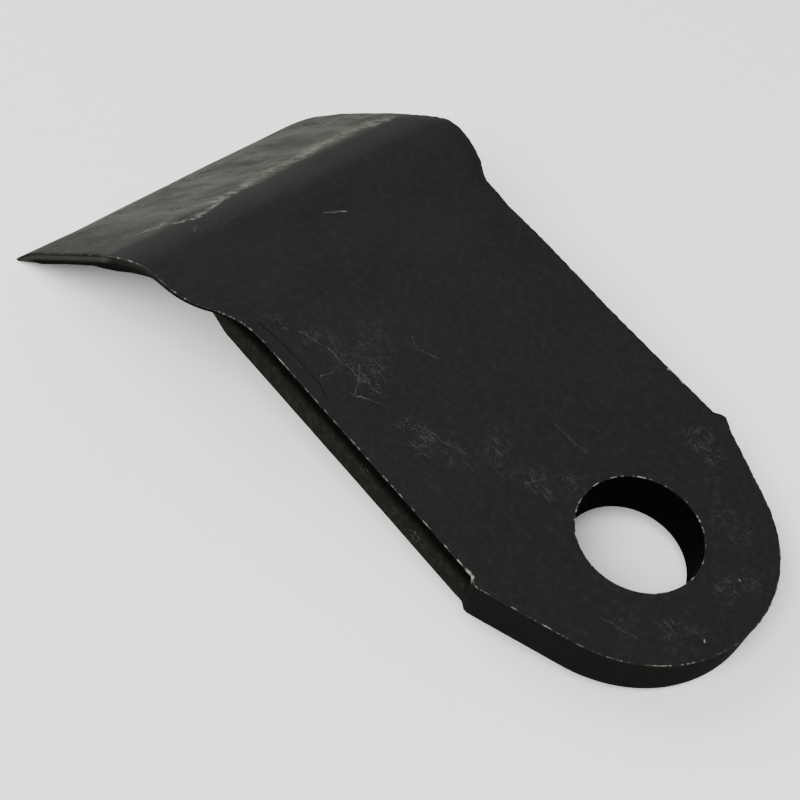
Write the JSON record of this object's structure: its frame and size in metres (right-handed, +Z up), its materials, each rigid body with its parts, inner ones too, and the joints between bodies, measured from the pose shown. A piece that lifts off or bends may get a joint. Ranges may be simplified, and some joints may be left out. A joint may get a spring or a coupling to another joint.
{
  "type": "flail blade",
  "caption": "Forged flail hammer blade with a round bolt eye at one end and a flared cutting lip bent down at the other.",
  "frame": {"origin": "centre of the bolt bore, halfway through the eye's thickness", "axes": "+X across the blade, +Y horizontal from the bore towards the cutting edge, +Z up with the blade lying on its cutting edge and the eye's lower rim; the bore leans back from +Z by the rest angle of 11.8 degrees"},
  "size_m": [0.081, 0.1792, 0.0355],
  "materials": {
    "forged_steel": "thin satin black dip paint over a forged scale surface"
  },
  "bodies": {
    "root": {"blade": "forged_steel"}
  },
  "joints": []
}
